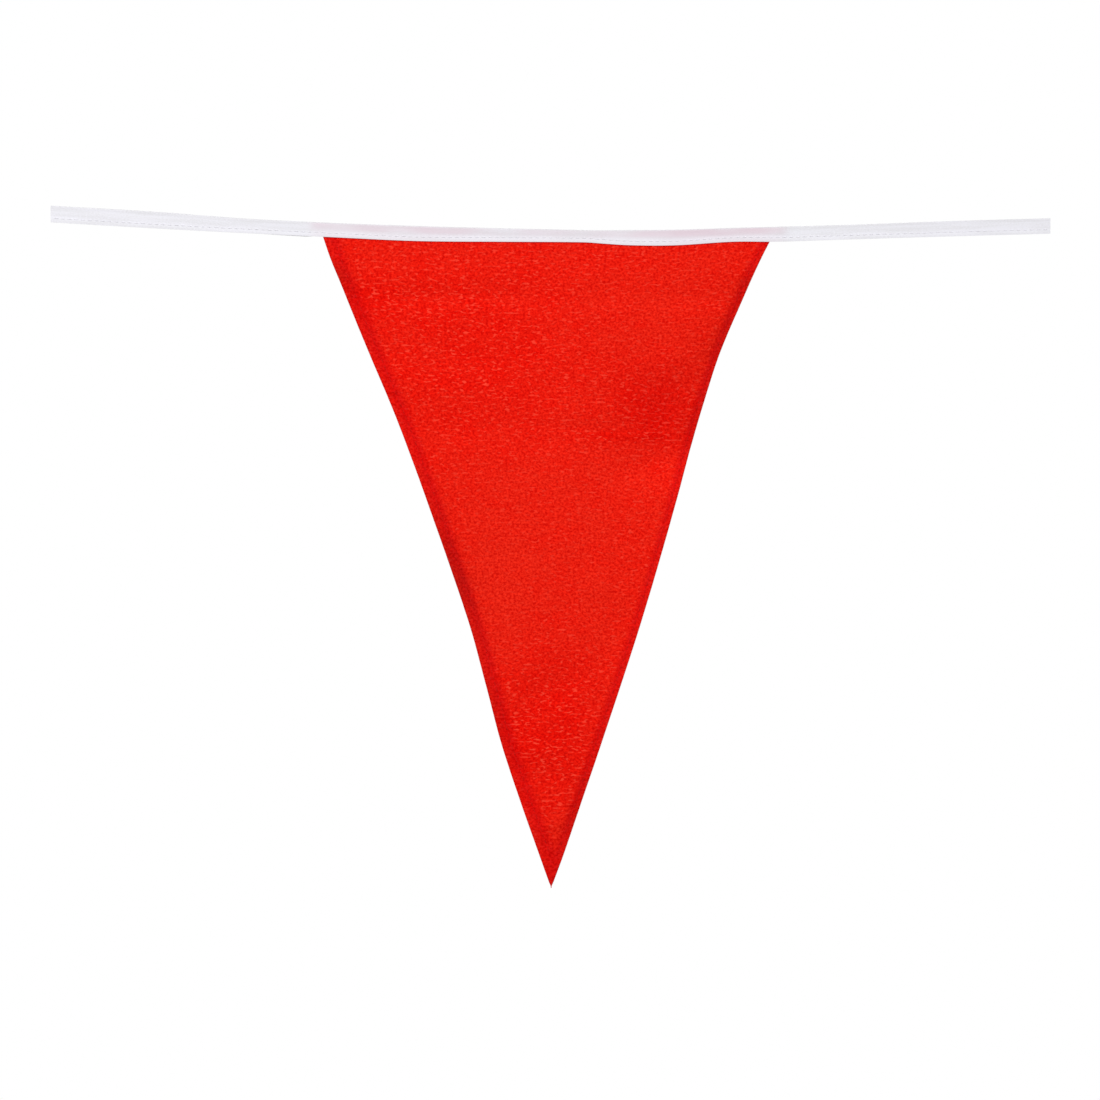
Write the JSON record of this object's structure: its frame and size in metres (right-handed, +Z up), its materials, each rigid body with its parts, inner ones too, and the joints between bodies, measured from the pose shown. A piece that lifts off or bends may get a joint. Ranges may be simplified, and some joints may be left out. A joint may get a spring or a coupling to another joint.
{
  "type": "bunting",
  "caption": "Hanging red triangular pennant with narrow turned hems down its slanted sides, its top edge held inside a white tape folded along its length.",
  "frame": {"origin": "on the fold along the tape's top, halfway between its cut ends, which is the mount hang_line", "axes": "+X along the tape, to the right as seen from the pennant's face, +Y to the back of the pennant, +Z up"},
  "size_m": [0.449, 0.0159, 0.3058],
  "materials": {
    "red_cloth": "knitted polyester, matt with a slight sheen",
    "white_tape": "woven ribbon, matt"
  },
  "bodies": {
    "root": {"pennant": "red_cloth", "tape": "white_tape"}
  },
  "joints": []
}
